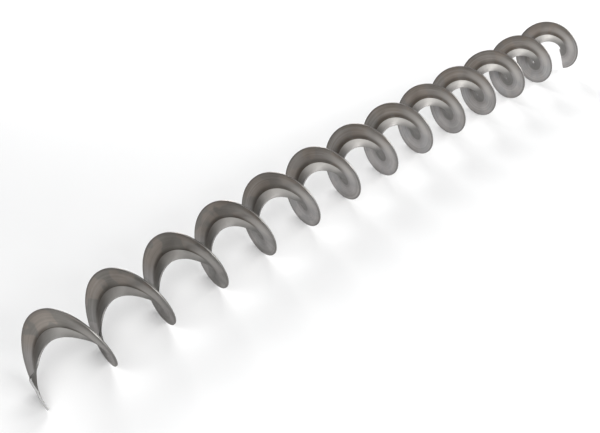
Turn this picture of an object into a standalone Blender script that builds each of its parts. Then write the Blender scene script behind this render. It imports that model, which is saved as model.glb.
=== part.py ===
"""Auger flight: one steel strip rolled into a right-hand screw, with an open middle.

The flight is a plate that winds round the X axis like a spiral stair. Cut through the
axis, the plate is a thin strip with a shallow crease: a narrow inner band leans towards
the near end (-X), and a wide outer band sweeps gently the same way. Both ends are cut
square across the turn, along a line through the axis. The length lies on the floor and is
bowed sideways a little, as rolled flighting is before it is pulled straight on its pipe.

Units are metres, +Z is up, and the origin is on the floor under the middle of the length.
"""

import math

import bmesh
import bpy

# Driving dimensions.
OUTER_RADIUS = 0.1143      # 9 in across the outer edge
INNER_RADIUS = 0.0302      # the inner edge bears on a 60.3 mm pipe
CREASE_RADIUS = 0.0597     # where the inner band meets the outer band
PITCH = 0.2011             # advance along the axis in one turn
TURNS = 13
THICKNESS = 0.0048         # plate gauge, square to the plate
INNER_LEAN = 0.0046        # how far the inner edge stands ahead of the crease, along X
OUTER_SWEEP = 0.0018       # how far the outer edge stands ahead of the crease, along X
CUT_ANGLE = math.radians(247.5)   # of both cuts, round +X from +Y towards +Z
BOW_DEPTH = 0.0412         # how far the middle stands off the line between the ends

STEPS_PER_TURN = 32        # a corner of the outer edge falls on the floor in every turn
STEEL = (0.33, 0.32, 0.30, 1.0)

LENGTH = PITCH * TURNS
BOW_ANGLE = 8.0 * BOW_DEPTH / LENGTH


def near_face_profile():
    """Radius and X of the near face, from the inner edge out across the crease."""
    mid_radius = CREASE_RADIUS + 0.4 * (OUTER_RADIUS - CREASE_RADIUS)
    return [
        (INNER_RADIUS, -INNER_LEAN),
        (CREASE_RADIUS, 0.0),
        (mid_radius, -0.65 * OUTER_SWEEP),
        (OUTER_RADIUS, -OUTER_SWEEP),
    ]


def thickness_along_axis(radius):
    """Length of X that the plate takes up at this radius, where it lies at the screw's slope."""
    slope = PITCH / (2.0 * math.pi * radius)
    return THICKNESS * math.hypot(1.0, slope)


def section_outline():
    """The strip's closed outline: out along the near face, back along the far face."""
    near = near_face_profile()
    far = [(radius, x + thickness_along_axis(radius)) for radius, x in reversed(near)]
    return near + far


def make_flight_mesh(name):
    """Spin the section round X while it moves along X. The end sections are the two cuts."""
    bm = bmesh.new()
    across = (math.cos(CUT_ANGLE), math.sin(CUT_ANGLE))
    corners = [
        bm.verts.new((x - LENGTH / 2.0, radius * across[0], radius * across[1]))
        for radius, x in section_outline()
    ]
    section = bm.faces.new(corners)
    steps = TURNS * STEPS_PER_TURN
    bmesh.ops.spin(
        bm,
        geom=[section, *section.edges, *section.verts],
        cent=(0.0, 0.0, 0.0),
        axis=(1.0, 0.0, 0.0),
        dvec=(LENGTH / steps, 0.0, 0.0),
        angle=2.0 * math.pi * TURNS,
        steps=steps,
    )
    bmesh.ops.recalc_face_normals(bm, faces=bm.faces)
    mesh = bpy.data.meshes.new(name)
    bm.to_mesh(mesh)
    bm.free()
    return mesh


def steel_material():
    """Bare rolled steel, dull and slightly warm."""
    material = bpy.data.materials.new("bare_steel")
    material.use_nodes = True
    shader = material.node_tree.nodes["Principled BSDF"]
    shader.inputs["Base Color"].default_value = STEEL
    shader.inputs["Metallic"].default_value = 1.0
    shader.inputs["Roughness"].default_value = 0.42
    material.diffuse_color = STEEL
    return material


def stand_on_floor(obj):
    """Centre the bowed flight on the origin, with its lowest turns on z = 0."""
    bpy.context.view_layer.update()
    bent = obj.evaluated_get(bpy.context.evaluated_depsgraph_get())
    xs, ys, zs = zip(*(corner[:] for corner in bent.bound_box))
    obj.location = (-(min(xs) + max(xs)) / 2.0, -(min(ys) + max(ys)) / 2.0, -min(zs))


def build():
    for old in list(bpy.data.objects):
        bpy.data.objects.remove(old, do_unlink=True)

    parts = bpy.data.collections.new("auger_flight")
    bpy.context.scene.collection.children.link(parts)

    flight = bpy.data.objects.new("flight", make_flight_mesh("flight"))
    parts.objects.link(flight)
    flight.data.materials.append(steel_material())
    flight.data.shade_smooth()
    flight.data.set_sharp_from_angle(angle=math.radians(30.0))

    bow = flight.modifiers.new("bow", "SIMPLE_DEFORM")
    bow.deform_method = "BEND"
    bow.deform_axis = "Z"
    bow.angle = -BOW_ANGLE    # the ends swing towards -Y

    stand_on_floor(flight)


build()
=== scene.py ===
# %% [markdown]
# # An auger flight in bare steel
#
# The object is one long strip of steel plate, rolled into a right-hand screw. Farm and
# factory augers use it to carry grain, pellets or soil along a tube. There is no shaft in
# it yet: the middle is open, and both ends are cut square. The strip has a shallow crease
# all the way along. Inside the crease a narrow band leans forward, outside it lies the
# wide working face.
#
# We load the solid model first. It fixes every size, so the visible flight has to match it.

# %% Load the solid model
import math

import bpy
from mathutils import Matrix, Vector


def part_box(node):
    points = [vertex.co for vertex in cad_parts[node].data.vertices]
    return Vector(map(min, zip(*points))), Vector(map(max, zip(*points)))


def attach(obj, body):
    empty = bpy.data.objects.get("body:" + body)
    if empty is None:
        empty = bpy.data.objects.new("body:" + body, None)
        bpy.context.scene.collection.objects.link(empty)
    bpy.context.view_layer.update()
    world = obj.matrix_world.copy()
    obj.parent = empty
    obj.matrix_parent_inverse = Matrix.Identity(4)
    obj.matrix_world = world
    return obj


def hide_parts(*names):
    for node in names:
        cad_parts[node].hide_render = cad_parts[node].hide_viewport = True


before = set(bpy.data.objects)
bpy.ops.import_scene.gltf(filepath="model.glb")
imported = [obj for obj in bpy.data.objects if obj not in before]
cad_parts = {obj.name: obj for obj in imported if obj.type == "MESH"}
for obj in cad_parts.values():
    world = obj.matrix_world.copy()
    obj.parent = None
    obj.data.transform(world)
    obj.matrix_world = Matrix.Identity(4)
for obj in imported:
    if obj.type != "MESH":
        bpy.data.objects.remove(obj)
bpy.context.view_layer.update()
low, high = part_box("flight")
print("solid flight, metres:", [round(c, 4) for c in high - low])

# %% [markdown]
# ## The sizes that drive the shape
#
# A screw shape follows from very few numbers: how far it reaches from its axis, how far it
# climbs in one turn, and how many turns it has. The rest describes the strip itself. The
# flight is also bowed sideways by about four centimetres, as rolled stock is when it lies
# on a floor. Its height and its place come straight from the solid model.

# %% Driving sizes, in metres
OUTER_RADIUS = (high.z - low.z) / 2
INNER_RADIUS = 0.0302
CREASE_RADIUS = 0.0597
PITCH = 0.2011
TURNS = 13
THICKNESS = 0.0048
INNER_LEAN = 0.0046
OUTER_SWEEP = 0.0018
CUT_ANGLE = math.radians(247.5)
BOW_DEPTH = 0.0412
LENGTH = PITCH * TURNS
AXIS_PLACE = Vector((0, high.y - OUTER_RADIUS, OUTER_RADIUS))

END_BEND = 0.0072          # how far the inner corner of the near cut is bent forward
END_BEND_REACH = 0.18      # turns over which that bend fades out
END_BEND_CURVE = 0.85      # below 1 the bend comes early, seen from the rim
END_SKEW = 0.0208          # how far the near cut's line passes from the axis
SKEW_CLIMB = 0.5           # share of the skew that climbs along the axis too

EDGE_ROUNDING = 0.0011     # rolled edges are never knife-sharp
CREASE_ROUNDING = 0.004    # how quickly the plate changes direction at the crease
ROUNDING_STEPS = 3         # faces round each of these corners
STEPS_PER_TURN = 96        # a corner of the rim falls on the floor in every turn
print("outer radius", round(OUTER_RADIUS, 4), "length", round(LENGTH, 3))

# %% [markdown]
# ## The strip's section
#
# Cut the flight along a line through its axis and you see the strip end-on: a thin, long
# outline with a bend in it. We could model the screw face by face, but it is far simpler
# to draw this one outline and let a rule sweep it. The outline is a closed curve with
# radius along its X and forward lean along its Y. Each point keeps its own rounding in the
# curve's point radius, which the node tree reads later.
#
# A plate that lies at a slope takes up more length along the axis than its own thickness.
# The slope is steep near the middle and flat near the rim, so the outline gets thicker
# towards the inner edge although the plate is even.

# %% Shape of the near face
def near_face(radius):
    """How far the near face lies behind the crease, along the axis, at this radius."""
    if radius <= CREASE_RADIUS:
        inward = (CREASE_RADIUS - radius) / (CREASE_RADIUS - INNER_RADIUS)
        return -INNER_LEAN * inward
    outward = (radius - CREASE_RADIUS) / (OUTER_RADIUS - CREASE_RADIUS)
    return -OUTER_SWEEP * (1 - (1 - outward) ** 2)


def along_axis(radius):
    """Thickness of the sloping plate, measured along the axis."""
    return THICKNESS * math.hypot(1, PITCH / (2 * math.pi * radius))


def spread(first, last, count):
    """Evenly spaced radii from first to last."""
    return [first + (last - first) * i / (count - 1) for i in range(count)]


for place, radius in (("inner edge", INNER_RADIUS), ("rim", OUTER_RADIUS)):
    print("plate along the axis at the", place, "mm:", round(along_axis(radius) * 1000, 1))

# %% Draw the outline as a closed curve
radii = spread(INNER_RADIUS, CREASE_RADIUS, 5) + spread(CREASE_RADIUS, OUTER_RADIUS, 8)[1:]
roundings = []
for radius in radii:
    if radius in (INNER_RADIUS, OUTER_RADIUS):
        roundings.append(EDGE_ROUNDING)
    elif radius == CREASE_RADIUS:
        roundings.append(CREASE_ROUNDING)
    else:
        roundings.append(0.0)

near_points = [(r, near_face(r), rounding) for r, rounding in zip(radii, roundings)]
far_points = [(r, x + along_axis(r), rounding) for r, x, rounding in reversed(near_points)]
outline = near_points + far_points

section_curve = bpy.data.curves.new("section", "CURVE")
section_curve.dimensions = "3D"
spline = section_curve.splines.new("POLY")
spline.points.add(len(outline) - 1)
for point, (radius, ahead, rounding) in zip(spline.points, outline):
    point.co = (radius, ahead, 0, 1)
    point.radius = rounding
spline.use_cyclic_u = True
section = bpy.data.objects.new("section", section_curve)
bpy.context.scene.collection.objects.link(section)
print("outline points:", len(outline))

# %% [markdown]
# ## A node tree that winds the strip
#
# The screw follows a rule, so Geometry Nodes can make it from named inputs. The tree works
# in three steps that are easy to picture. First it sweeps the outline along a straight
# line, one unit of length for each turn, which gives a bar. Then it wraps the bar round
# the axis: the distance along the bar becomes an angle. Last it bows the whole screw.
#
# Curve to Mesh along X puts the outline's X on -Y and its Y on -Z, so the tree reads
# them back with the sign changed. It stores both, and the turn, as attributes before it
# moves a point. The wrap needs all three. The steel reads the turn and the radius later,
# because roll marks follow the strip and not the room.

# %% Small helpers for node trees
def new_node(tree, kind, **settings):
    """Add a node and set its properties, such as operation or data_type."""
    node = tree.nodes.new(kind)
    for name, value in settings.items():
        setattr(node, name, value)
    return node


def plug(tree, value, socket):
    """Link a socket to a socket, or set a plain value."""
    if isinstance(value, bpy.types.NodeSocket):
        tree.links.new(value, socket)
    else:
        socket.default_value = value


def calc(tree, operation, *values):
    """A Math node with its inputs filled in. Returns its result."""
    node = new_node(tree, "ShaderNodeMath", operation=operation)
    for value, socket in zip(values, node.inputs):
        plug(tree, value, socket)
    return node.outputs[0]


def ramp(tree, value, from_low, from_high, to_low=0.0, to_high=1.0, soft=False):
    """Map a value from one range to another, held at the ends, straight or softly eased."""
    kind = "SMOOTHSTEP" if soft else "LINEAR"
    node = new_node(tree, "ShaderNodeMapRange", interpolation_type=kind)
    numbers = (value, from_low, from_high, to_low, to_high)
    for number, socket in zip(numbers, node.inputs):
        plug(tree, number, socket)
    return node.outputs[0]


def vector_of(tree, x, y, z):
    """A Combine XYZ node with its inputs filled in."""
    node = new_node(tree, "ShaderNodeCombineXYZ")
    for value, socket in zip((x, y, z), node.inputs):
        plug(tree, value, socket)
    return node.outputs[0]


# %% Start the tree and name its inputs
wind = bpy.data.node_groups.new("wind_strip", "GeometryNodeTree")
wind_inputs = {
    "Section": "NodeSocketObject",
    "Turns": "NodeSocketInt",
    "Steps per Turn": "NodeSocketInt",
    "Pitch": "NodeSocketFloat",
    "Cut Angle": "NodeSocketFloat",
    "Bow Radius": "NodeSocketFloat",
    "End Bend": "NodeSocketFloat",
    "End Bend Reach": "NodeSocketFloat",
    "End Skew": "NodeSocketFloat",
    "Place": "NodeSocketVector",
    "Steel": "NodeSocketMaterial",
}
wind.interface.new_socket("Geometry", in_out="INPUT", socket_type="NodeSocketGeometry")
for name, kind in wind_inputs.items():
    wind.interface.new_socket(name, in_out="INPUT", socket_type=kind)
wind.interface.new_socket("Geometry", in_out="OUTPUT", socket_type="NodeSocketGeometry")
given = new_node(wind, "NodeGroupInput").outputs
print("tree inputs:", ", ".join(wind_inputs))

# %% Sweep the rounded outline along a straight line
line = new_node(wind, "GeometryNodeCurvePrimitiveLine")
plug(wind, vector_of(wind, given["Turns"], 0, 0), line.inputs["End"])
steps = calc(wind, "MULTIPLY", given["Turns"], given["Steps per Turn"])
resample = new_node(wind, "GeometryNodeResampleCurve")
plug(wind, line.outputs["Curve"], resample.inputs["Curve"])
plug(wind, calc(wind, "ADD", steps, 1), resample.inputs["Count"])

outline_in = new_node(wind, "GeometryNodeObjectInfo")
plug(wind, given["Section"], outline_in.inputs["Object"])
rounded = new_node(wind, "GeometryNodeFilletCurve", mode="POLY")
plug(wind, outline_in.outputs["Geometry"], rounded.inputs["Curve"])
plug(wind, new_node(wind, "GeometryNodeInputRadius").outputs[0], rounded.inputs["Radius"])
plug(wind, ROUNDING_STEPS, rounded.inputs["Count"])

bar = new_node(wind, "GeometryNodeCurveToMesh")
plug(wind, resample.outputs["Curve"], bar.inputs["Curve"])
plug(wind, rounded.outputs["Curve"], bar.inputs["Profile Curve"])
plug(wind, True, bar.inputs["Fill Caps"])
print("steps along the strip:", TURNS * STEPS_PER_TURN)

# %% Remember where every point lies on the strip
here = new_node(wind, "ShaderNodeSeparateXYZ")
plug(wind, new_node(wind, "GeometryNodeInputPosition").outputs[0], here.inputs[0])
radius_out = calc(wind, "MULTIPLY", here.outputs["Y"], -1.0)
ahead_out = calc(wind, "MULTIPLY", here.outputs["Z"], -1.0)

geometry = bar.outputs["Mesh"]
for name, value in (("turn", here.outputs["X"]), ("radius", radius_out), ("ahead", ahead_out)):
    store = new_node(wind, "GeometryNodeStoreNamedAttribute", data_type="FLOAT")
    plug(wind, geometry, store.inputs["Geometry"])
    plug(wind, name, store.inputs["Name"])
    plug(wind, value, store.inputs["Value"])
    geometry = store.outputs["Geometry"]


def read_back(name):
    """Read a stored float attribute inside the tree."""
    node = new_node(wind, "GeometryNodeInputNamedAttribute", data_type="FLOAT")
    plug(wind, name, node.inputs["Name"])
    return node.outputs["Attribute"]


turn, radius, ahead = read_back("turn"), read_back("radius"), read_back("ahead")
print("stored and read back: turn, radius, ahead")

# %% [markdown]
# ## The near end is not perfect
#
# At the near end the real strip leaves its rule. The cut is straight, but it misses the
# axis by some twenty millimetres, and the inner corner is bent forward a little, as
# happens when a flight is handled or cut from a longer one. We add both as small shifts
# that fade out within a fifth of a turn, so the rest keeps its rule.

# %% Skew and bend the near end
near_end = ramp(wind, turn, 0.0, given["End Bend Reach"], 1.0, 0.0, soft=True)


def skew_at(radius_socket):
    """Angle between the axis line and a line that passes the axis by End Skew."""
    return calc(wind, "ARCSINE", calc(wind, "DIVIDE", given["End Skew"], radius_socket))


rim_skew = math.asin(END_SKEW / OUTER_RADIUS)
skew = calc(wind, "SUBTRACT", skew_at(radius), rim_skew)
skew_turns = calc(wind, "DIVIDE", calc(wind, "MULTIPLY", skew, near_end), 2 * math.pi)
wound_turn = calc(wind, "ADD", turn, skew_turns)
climbed_turn = calc(wind, "MULTIPLY_ADD", skew_turns, SKEW_CLIMB, turn)
inward = ramp(wind, radius, OUTER_RADIUS, INNER_RADIUS)
forward = calc(wind, "MULTIPLY", calc(wind, "POWER", inward, END_BEND_CURVE), near_end)
inner_skew = math.asin(END_SKEW / INNER_RADIUS) - rim_skew
print("skew from the rim to the inner edge, degrees:", round(math.degrees(inner_skew)))

# %% Wrap the bar round the axis
angle = calc(wind, "MULTIPLY_ADD", wound_turn, 2 * math.pi, given["Cut Angle"])
length = calc(wind, "MULTIPLY", given["Turns"], given["Pitch"])
travel = calc(wind, "MULTIPLY_ADD", climbed_turn, given["Pitch"], ahead)
travel = calc(wind, "SUBTRACT", travel, calc(wind, "MULTIPLY", forward, given["End Bend"]))
straight_x = calc(wind, "MULTIPLY_ADD", length, -0.5, travel)
straight_y = calc(wind, "MULTIPLY", radius, calc(wind, "COSINE", angle))
straight_z = calc(wind, "MULTIPLY", radius, calc(wind, "SINE", angle))
print("nodes up to the straight screw:", len(wind.nodes))

# %% [markdown]
# ## Bow it and put it in its place
#
# A bowed bar lies on a wide circle. The circle's radius follows from the bow's depth and
# the length: length squared over eight times the depth. Each point keeps its distance
# along the bar and turns about the circle's centre, which keeps every cross-section square
# to the bar. That is what a Simple Deform bend does as well, and the solid model uses it.
# It measures the whole piece, from the first point of the near cut to the last point of
# the far one, so the radius below counts the plate's own depth too.

# %% Bend about a far centre, then place and finish
strip_depth = max(ahead for _, ahead, _ in outline) - min(ahead for _, ahead, _ in outline)
BOW_RADIUS = LENGTH * (LENGTH + strip_depth) / (8 * BOW_DEPTH)
print("bow radius, metres:", round(BOW_RADIUS, 2))

swing = calc(wind, "DIVIDE", straight_x, given["Bow Radius"])
reach = calc(wind, "ADD", given["Bow Radius"], straight_y)
bowed_x = calc(wind, "MULTIPLY", reach, calc(wind, "SINE", swing))
bowed_y = calc(wind, "SUBTRACT", calc(wind, "MULTIPLY", reach, calc(wind, "COSINE", swing)),
               given["Bow Radius"])

move = new_node(wind, "GeometryNodeSetPosition")
plug(wind, geometry, move.inputs["Geometry"])
plug(wind, vector_of(wind, bowed_x, bowed_y, straight_z), move.inputs["Position"])
plug(wind, given["Place"], move.inputs["Offset"])

outward = new_node(wind, "GeometryNodeFlipFaces")    # the wrap turns the bar inside out
smooth = new_node(wind, "GeometryNodeSetShadeSmooth")
realize = new_node(wind, "GeometryNodeRealizeInstances")
paint = new_node(wind, "GeometryNodeSetMaterial")
plug(wind, move.outputs["Geometry"], outward.inputs["Mesh"])
plug(wind, outward.outputs["Mesh"], smooth.inputs["Geometry"])
plug(wind, smooth.outputs["Geometry"], realize.inputs["Geometry"])
plug(wind, realize.outputs["Geometry"], paint.inputs["Geometry"])
plug(wind, given["Steel"], paint.inputs["Material"])
plug(wind, paint.outputs["Geometry"], new_node(wind, "NodeGroupOutput").inputs["Geometry"])
print("wind_strip nodes:", len(wind.nodes))

# %% [markdown]
# ## Bare rolled steel
#
# Rolled plate leaves the mill with a thin grey-brown scale. The rollers press the inner
# band hardest. The inner band's tone is painted light and shade, and the crease carries
# painted shade with some blotchy soot. The outer band carries painted shade, a painted glint
# and a painted floor reflection as well. The rollers also leave faint marks that run along
# the strip. All of this follows the strip, so the material reads the turn and the radius
# that the tree stored. Only the cloudy changes of tone and the fine grain read the
# object's own coordinates.
#
# Clean metal goes almost white where you look along it. This steel is dull with scale, and
# a darker specular tint holds that back.

# %% Start the material
steel = bpy.data.materials.new("bare_rolled_steel")
steel.use_nodes = True
paint_tree = steel.node_tree
shader = paint_tree.nodes["Principled BSDF"]
shader.inputs["Metallic"].default_value = 1.0
shader.inputs["Specular Tint"].default_value = (0.74, 0.73, 0.72, 1.0)
print("material:", steel.name)


# %% Helpers for masks
def attribute(name):
    """Read a float attribute of the mesh in the material."""
    return new_node(paint_tree, "ShaderNodeAttribute", attribute_name=name).outputs["Fac"]


def fade(value, from_low, from_high, to_low=0.0, to_high=1.0):
    """A soft ramp. It runs downwards where from_low is the larger of the two."""
    return ramp(paint_tree, value, from_low, from_high, to_low, to_high, soft=True)


def times(*masks):
    """Multiply masks, which leaves only the places that all of them cover."""
    product = masks[0]
    for mask in masks[1:]:
        product = calc(paint_tree, "MULTIPLY", product, mask)
    return product


def share(mask, gain, base):
    """A share that is base where the mask is 0, and base plus gain where it is 1."""
    return calc(paint_tree, "MULTIPLY_ADD", mask, gain, base)


def larger(first, second):
    """The larger of two masks, point by point."""
    return calc(paint_tree, "MAXIMUM", first, second)


def all_but(mask):
    """The mask turned round: 1 where it is 0."""
    return calc(paint_tree, "SUBTRACT", 1.0, mask)


# %% Helpers for tones
def noise(vector, scale=1.0, detail=4.0, roughness=0.55):
    """Soft random tone from 0 to 1."""
    node = new_node(paint_tree, "ShaderNodeTexNoise")
    plug(paint_tree, vector, node.inputs["Vector"])
    node.inputs["Scale"].default_value = scale
    node.inputs["Detail"].default_value = detail
    node.inputs["Roughness"].default_value = roughness
    return node.outputs["Fac"]


def blend(amount, first, second):
    """Mix two colours. The first and second may be sockets or plain RGB."""
    node = new_node(paint_tree, "ShaderNodeMix", data_type="RGBA")
    plug(paint_tree, amount, node.inputs[0])
    for colour, socket in ((first, node.inputs[6]), (second, node.inputs[7])):
        plug(paint_tree, (*colour, 1.0) if isinstance(colour, tuple) else colour, socket)
    return node.outputs[2]


# %% [markdown]
# ### Where a point lies on the strip
#
# The radius tells the bands, the crease and the edges apart, and the turn tells the near
# turns from the far ones. A mask is a number from 0 to 1 that says how much of a tone
# shows at a point. Each mask here is a soft ramp on one of the two, or a product of ramps.

# %% Ramps on the radius and on the turn
MM = 0.001
strip_turn, strip_radius = attribute("turn"), attribute("radius")


def from_crease(start, end):
    """0 at start and 1 at end, both in millimetres outwards from the crease."""
    return fade(strip_radius, CREASE_RADIUS + start * MM, CREASE_RADIUS + end * MM)


def from_rim(start, end, to_low=0.0, to_high=1.0):
    """The same in millimetres inwards from the rim."""
    start_radius, end_radius = OUTER_RADIUS - start * MM, OUTER_RADIUS - end * MM
    return fade(strip_radius, start_radius, end_radius, to_low, to_high)


near_turns = fade(strip_turn, 7.0, 2.0)    # 1 up to the second turn, 0 from the seventh
far_turns = all_but(near_turns)
across_inner = fade(strip_radius, INNER_RADIUS, CREASE_RADIUS)

# %% Bands, crease and edges
inner_band = from_crease(0.8, -0.8)
# The next three masks carry painted shade in and beside the crease.
crease_line = times(from_crease(-0.6, 0.2), from_crease(3.5, 1.2))
crease_soot_and_shade = times(from_crease(-0.6, 0.6), from_crease(14, 1))
dark_band = times(from_crease(1, 6), from_crease(20, 8))
rim_band = from_rim(6, 3)
bore_wear = fade(strip_radius, INNER_RADIUS + 1.0 * MM, INNER_RADIUS + 0.2 * MM)
worn_edge = larger(from_rim(1.0, 0.2), bore_wear)

# Painted shade and light: the outer band is darker beside the crease, over a wider stretch on the
# near turns, and towards the rim.
band_light_reach = ramp(paint_tree, near_turns, 0.0, 1.0,
                    CREASE_RADIUS + 26 * MM, CREASE_RADIUS + 12 * MM)
painted_band_light = times(fade(strip_radius, CREASE_RADIUS + 3 * MM, band_light_reach),
                 from_rim(0, 22, 0.45, 1.0))

turns_to_cut = calc(paint_tree, "MINIMUM", strip_turn,
                    calc(paint_tree, "SUBTRACT", TURNS, strip_turn))
cut_face = ramp(paint_tree, turns_to_cut, 0.0005, 0.0002)
print("steel nodes with the bands:", len(paint_tree.nodes))

# %% [markdown]
# ### Marks and patches
#
# A noise looks even in all directions, so we stretch it. Roll marks are long and narrow:
# few waves for each metre along the strip and many across it. Patches of scale are the
# other way round, and they cross the whole band. The chatter of the rollers makes fine
# ripples across the strip. Clouds, blotches and grain have no direction.

# %% Noises along the strip and in the room
along = calc(paint_tree, "MULTIPLY", strip_turn, 2 * math.pi * CREASE_RADIUS)


def strip_space(waves_along, waves_across, layer):
    """Noise coordinates on the strip, in waves per metre. A layer is a fresh pattern."""
    return vector_of(paint_tree, calc(paint_tree, "MULTIPLY", along, waves_along), layer,
                     calc(paint_tree, "MULTIPLY", strip_radius, waves_across))


roll_marks = noise(strip_space(3, 150, layer=0), detail=5.0, roughness=0.66)
patches = fade(noise(strip_space(21, 9, layer=3), detail=2.0), 0.48, 0.52)
chatter = noise(strip_space(170, 12, layer=7), detail=1.0)

room = new_node(paint_tree, "ShaderNodeTexCoord").outputs["Object"]
clouds = noise(room, scale=9.0, detail=3.0)
blotches = noise(room, scale=34.0, detail=4.0, roughness=0.6)
grain = noise(room, scale=900.0, detail=2.0)
print("steel nodes with the noises:", len(paint_tree.nodes))

# %% [markdown]
# ### The sides of a turn
#
# In the photo the upper left of every turn has a lighter inner band, a darker crease and a
# browner face than the lower right. Part of this is light that a few soft boxes cannot
# repeat. Masks from the turn's angle carry the rest as tone in the steel. They belong to
# the strip, so the tone stays in its place from every camera.

# %% Directions round the axis, in degrees from the photo's left over the top
LOW_LEFT = -15
LEFT = 5
TOP_LEFT = 68
TOP_RIGHT = 138
RIGHT = 185
LOW_RIGHT = 220


def side_of_turn(direction, start, end):
    """0 to 1 as the cosine of the angle off a direction goes from start to end."""
    turned = CUT_ANGLE - math.radians(direction)
    turned = calc(paint_tree, "MULTIPLY_ADD", strip_turn, 2 * math.pi, turned)
    return fade(calc(paint_tree, "COSINE", turned), start, end)


top_left = side_of_turn(TOP_LEFT, -0.1, 0.5)
low_right = side_of_turn(LOW_RIGHT, 0.1, 0.9)
# Painted shade: the left of each turn, for the crease and the rim.
left_shade_side = side_of_turn(LEFT, 0.2, 1.0)
both_sides = larger(left_shade_side, side_of_turn(RIGHT, 0.3, 0.9))
print("steel nodes with the sides:", len(paint_tree.nodes))

# %% [markdown]
# ### Colour of the outer band
#
# The wide band is painted darker beside the crease, over a wider stretch on the near turns,
# and towards the rim, and lighter in between: painted shade and painted light. It is also
# painted browner and darker on the upper left and lighter and cooler on the lower right,
# mixed with random warm patches. Then come the patches, the marks and the clouds, one thin
# layer over the other, as they lie on the real plate. A painted glint, a painted floor
# reflection and a line of painted shade at the rim come last.

# %% Painted shade and light across the band, painted side tones and patches
SHADED_WARM = (0.212, 0.182, 0.160)
SHADED_COOL = (0.350, 0.344, 0.348)
LIT_WARM = (0.396, 0.350, 0.313)
LIT_COOL = (0.430, 0.424, 0.434)
PATCH_DARK = (0.215, 0.210, 0.192)
CLOUD_DARK = (0.205, 0.190, 0.174)

# Painted shade and painted reflection: the band is browner and darker on the upper left and
# lighter and cooler on the lower right, mixed with random warm patches.
warm_patches_and_painted_side = share(patches, 0.3, times(top_left, 0.7))
colour = blend(painted_band_light, blend(warm_patches_and_painted_side, SHADED_COOL, SHADED_WARM),
               blend(warm_patches_and_painted_side, LIT_COOL, LIT_WARM))
colour = blend(times(share(near_turns, 0.35, 0.25), all_but(patches)), colour, PATCH_DARK)
colour = blend(fade(roll_marks, 0.50, 0.38, 0.0, 0.3), colour, PATCH_DARK)
colour = blend(fade(clouds, 0.35, 0.6, 0.35, 0.0), colour, CLOUD_DARK)

# %% Bright streaks, a painted glint, a painted floor reflection on the lower right, and painted shade at the rim
STREAK_AND_GLINT = (0.500, 0.482, 0.460)
PAINTED_FLOOR_REFLECTION = (0.520, 0.510, 0.520)
PAINTED_RIM_SHADE = (0.120, 0.113, 0.106)

streak_strength = ramp(paint_tree, near_turns, 0, 1, 1.0, 0.4)
streaks = times(fade(roll_marks, 0.50, 0.66, 0.0, 0.55), streak_strength)
# Painted glint: a lighter stretch of the band on the upper right of every turn.
painted_glint_side = times(side_of_turn(TOP_RIGHT, 0.6, 1.0), from_rim(8, 22), 0.85)
colour = blend(times(painted_band_light, larger(streaks, painted_glint_side)), colour, STREAK_AND_GLINT)

# Painted floor reflection: the lower right of the middle turns is lighter.
middle_turns = times(fade(strip_turn, 2.8, 4.2, 0.0, 0.25), fade(strip_turn, 10.0, 7.0, 0.2, 1.0))
colour = blend(times(low_right, from_rim(10, 30), middle_turns), colour, PAINTED_FLOOR_REFLECTION)
# Painted shade: a dark line inside the rim, strongest on the left and right of each turn.
colour = blend(times(rim_band, share(both_sides, 0.45, 0.15)), colour, PAINTED_RIM_SHADE)
print("steel nodes with the outer band:", len(paint_tree.nodes))

# %% [markdown]
# ### Colour of the inner band, the crease and the ends
#
# The inner band's tone is painted light and shade: lightest beside the crease and on the
# upper left, darker at its inner edge, on the lower right and on the low left. The crease
# carries painted shade, most of all on the left, mixed with blotchy soot. The edges are worn
# a little lighter, the first turns are darker with painted shade on their lower right, and
# the two cut faces show plain steel.

# %% Inner band
INNER_SHADED = (0.206, 0.201, 0.194)
INNER_EDGE = (0.270, 0.264, 0.255)
INNER_LIT = (0.482, 0.470, 0.450)
INNER_LOW_LEFT_SHADE = (0.180, 0.163, 0.146)
# A soot colour, used mostly for painted shade.
SOOT_AND_PAINTED_SHADE = (0.085, 0.072, 0.060)

# Painted shade: the inner band is darker on the low left of every turn.
low_left = times(side_of_turn(LOW_LEFT, 0.6, 1.0),
                 fade(strip_radius, INNER_RADIUS + 4 * MM, CREASE_RADIUS - 8 * MM))
# Painted shade: on the near turns the inner band is darkened on the left in the soot colour.
near_left = times(near_turns, side_of_turn(LEFT + 10, 0.3, 0.95), across_inner)
# Painted light and shade: the inner band is lighter towards the crease and on the upper left, and
# darker at its inner edge and on the lower right.
inner_tone = blend(across_inner, INNER_EDGE, INNER_LIT)
inner_tone = blend(top_left, INNER_SHADED, inner_tone)
inner_tone = blend(times(low_left, 0.75), inner_tone, INNER_LOW_LEFT_SHADE)
inner_tone = blend(times(near_left, 0.5), inner_tone, SOOT_AND_PAINTED_SHADE)
colour = blend(times(inner_band, 0.9), colour, inner_tone)

# %% Painted shade in and beside the crease, with blotchy soot
# Painted shade: a dark band just outside the crease on the upper left of the far turns.
colour = blend(times(dark_band, far_turns, top_left, 0.45), colour, SOOT_AND_PAINTED_SHADE)
# Painted shade along the crease line, stronger on the upper left. Beside it, painted shade on the
# left of each turn, mixed with blotchy soot.
crease_line_shade = times(crease_line, share(top_left, 0.55, 0.3))
blotch_soot_and_left_shade = times(crease_soot_and_shade, share(left_shade_side, 0.55, fade(blotches, 0.3, 0.7, 0.0, 0.22)))
colour = blend(larger(crease_line_shade, blotch_soot_and_left_shade), colour, SOOT_AND_PAINTED_SHADE)

# %% Worn edges, darker first turns and cut faces
BRIGHT_EDGE = (0.300, 0.296, 0.288)
NEAR_TURN_DARK = (0.102, 0.098, 0.091)
CUT_STEEL = (0.255, 0.254, 0.252)

colour = blend(times(worn_edge, 0.5), colour, BRIGHT_EDGE)
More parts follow.
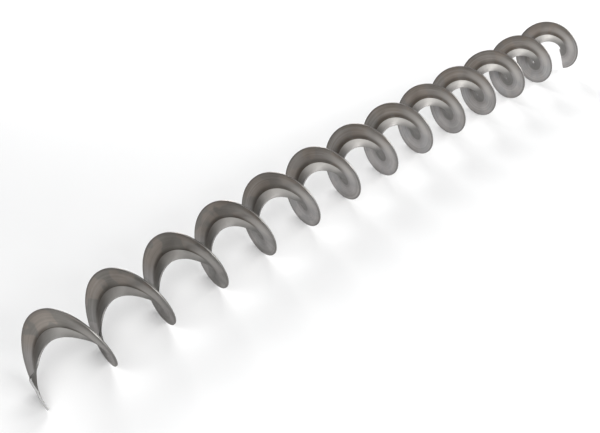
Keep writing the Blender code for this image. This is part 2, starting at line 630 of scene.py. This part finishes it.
# Painted shade: the lower right of the first turns is darker, and all the first turns are darker
# as well.
first_low_right = times(low_right, fade(strip_turn, 3.4, 2.4, 0.0, 0.2))
near_turn_darkening = calc(paint_tree, "ADD", fade(strip_turn, 6.0, 2.0, 0.0, 0.28), first_low_right)
colour = blend(near_turn_darkening, colour, NEAR_TURN_DARK)
colour = blend(cut_face, colour, CUT_STEEL)
plug(paint_tree, colour, shader.inputs["Base Color"])
print("steel nodes with the whole colour:", len(paint_tree.nodes))

# %% [markdown]
# ### Sheen and relief
#
# Rolled steel is satin. The roll marks are a little smoother than the scale between them,
# and the inner band is duller. Three small bumps lie on each other: the marks, the ripples
# from the rollers, and the grain. None is deeper than half a millimetre, because the large
# forms are in the mesh.

# %% Roughness
rough = fade(roll_marks, 0.3, 0.8, 0.42, 0.32)
rough = calc(paint_tree, "ADD", rough, fade(blotches, 0.3, 0.7, -0.03, 0.05))
rough = share(inner_band, 0.17, rough)
plug(paint_tree, rough, shader.inputs["Roughness"])


# %% Bumps
def raised(height, strength, depth, under=None):
    """A bump of a depth in metres. It lies on the one given as under."""
    node = new_node(paint_tree, "ShaderNodeBump")
    node.inputs["Strength"].default_value = strength
    node.inputs["Distance"].default_value = depth
    plug(paint_tree, height, node.inputs["Height"])
    if under is not None:
        plug(paint_tree, under, node.inputs["Normal"])
    return node.outputs["Normal"]


relief = raised(roll_marks, strength=0.25, depth=0.0004)
relief = raised(chatter, strength=0.25, depth=0.0005, under=relief)
relief = raised(grain, strength=0.2, depth=0.0001, under=relief)
plug(paint_tree, relief, shader.inputs["Normal"])
print("steel nodes:", len(paint_tree.nodes))

# %% [markdown]
# ## Run the tree
#
# The modifier's inputs are set by their identifiers before anything is evaluated. The
# result is turned into a plain mesh, because a finished piece should not depend on its
# node tree. The drawn outline is no longer needed. The mesh is set so that its far cut
# lies where the solid's does, and the two cut faces get sharp edges and flat shading.

# %% Make the flight
settings = {
    "Section": section,
    "Turns": TURNS,
    "Steps per Turn": STEPS_PER_TURN,
    "Pitch": PITCH,
    "Cut Angle": CUT_ANGLE,
    "Bow Radius": BOW_RADIUS,
    "End Bend": END_BEND,
    "End Bend Reach": END_BEND_REACH,
    "End Skew": END_SKEW,
    "Place": AXIS_PLACE,
    "Steel": steel,
}
seed = bpy.data.objects.new("seed", bpy.data.meshes.new("seed"))
bpy.context.scene.collection.objects.link(seed)
modifier = seed.modifiers.new("wind", "NODES")
modifier.node_group = wind
for item in wind.interface.items_tree:
    if item.in_out == "INPUT" and item.name in settings:
        modifier[item.identifier] = settings[item.name]

evaluated = seed.evaluated_get(bpy.context.evaluated_depsgraph_get())
flight_mesh = bpy.data.meshes.new_from_object(evaluated)
flight_mesh.name = "rolled_flight"
far_end = max(vertex.co.x for vertex in flight_mesh.vertices)
flight_mesh.transform(Matrix.Translation((high.x - far_end, 0, 0)))
flight = bpy.data.objects.new("rolled_flight", flight_mesh)
bpy.context.scene.collection.objects.link(flight)
for used in (seed, section):
    bpy.data.objects.remove(used)
SHARP_ANGLE = math.radians(50)
flight_mesh.set_sharp_from_angle(angle=SHARP_ANGLE)
for face in flight_mesh.polygons:
    if len(face.vertices) > 4:    # only the two cut faces have more than four corners
        face.use_smooth = False
print("flight faces:", len(flight_mesh.polygons))

# %% Check that its faces point outwards
flight_mesh.calc_loop_triangles()
volume = 0.0
for triangle in flight_mesh.loop_triangles:
    a, b, c = (flight_mesh.vertices[i].co for i in triangle.vertices)
    volume += a.dot(b.cross(c)) / 6
print("flight volume, litres:", round(volume * 1000, 3), "(more than 0 is outwards)")

# %% Hand it to the model
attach(flight, "root")
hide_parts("flight")
print(flight.name, "rides on root and stands for the solid flight")

# %% [markdown]
# ## Floor and light
#
# The photo shows the flight on plain white. A pale matt floor with a soft contact shadow
# stands in for it. Bare metal has little colour of its own and mostly shows what is around
# it, so the lights do half of the work.

# %% A pale floor
FLOOR_SIZE = 40
bpy.ops.mesh.primitive_plane_add(size=FLOOR_SIZE, location=(0, 0, 0))
floor = bpy.context.object
floor.name = "floor"
floor_paint = bpy.data.materials.new("pale_floor")
floor_paint.use_nodes = True
floor_shader = floor_paint.node_tree.nodes["Principled BSDF"]
floor_shader.inputs["Base Color"].default_value = (0.86, 0.86, 0.86, 1)
floor_shader.inputs["Roughness"].default_value = 0.9
floor.data.materials.append(floor_paint)
print("floor, metres across:", FLOOR_SIZE)

# %% Soft boxes and a dim room
BOX_DISTANCE = 4


def soft_box(name, heading, height, size, power):
    """An area light that looks at the flight's middle from a heading and a height angle."""
    light = bpy.data.lights.new(name, "AREA")
    light.shape = "RECTANGLE"
    light.size, light.size_y = size
    light.energy = power
    box = bpy.data.objects.new(name, light)
    bpy.context.scene.collection.objects.link(box)
    turn_to, lift = math.radians(heading), math.radians(height)
    flat = math.cos(lift)
    direction = Vector((flat * math.cos(turn_to), flat * math.sin(turn_to), math.sin(lift)))
    box.location = direction * BOX_DISTANCE
    box.rotation_euler = direction.to_track_quat("Z", "Y").to_euler()
    return box


soft_box("front_window", heading=255, height=30, size=(2.6, 1.0), power=71)
soft_box("low_window", heading=235, height=9, size=(2.6, 1.0), power=119)
soft_box("end_window", heading=195, height=40, size=(2.6, 1.0), power=38)
soft_box("back_window", heading=60, height=30, size=(2.6, 1.6), power=131)
soft_box("far_window", heading=325, height=19, size=(2.6, 1.4), power=82)

room_light = bpy.data.worlds.new("room")
bpy.context.scene.world = room_light
room_light.use_nodes = True
background = room_light.node_tree.nodes["Background"]
background.inputs["Color"].default_value = (0.98, 0.99, 1.0, 1)
background.inputs["Strength"].default_value = 0.25
bpy.context.scene.view_settings.view_transform = "Standard"
print("soft boxes:", len(bpy.data.lights))

# %% [markdown]
# ## The camera
#
# The photo was taken with a normal lens from behind the near end, level, looking down at
# about thirty-five degrees. The place was worked out by matching the screw's outline.

# %% Camera
camera_data = bpy.data.cameras.new("camera")
camera_data.lens = 50
camera_data.sensor_width = 36
camera = bpy.data.objects.new("camera", camera_data)
bpy.context.scene.collection.objects.link(camera)
CAMERA_PLACE = (-1.9164, -1.4496, 1.5655)
CAMERA_HEADING = math.radians(42.208)   # from +X towards +Y
CAMERA_TILT = math.radians(35.264)      # below level
camera.location = CAMERA_PLACE
camera.rotation_euler = (math.pi / 2 - CAMERA_TILT, 0, CAMERA_HEADING - math.pi / 2)
bpy.context.scene.camera = camera
print("camera height, metres:", round(camera.location.z, 2))
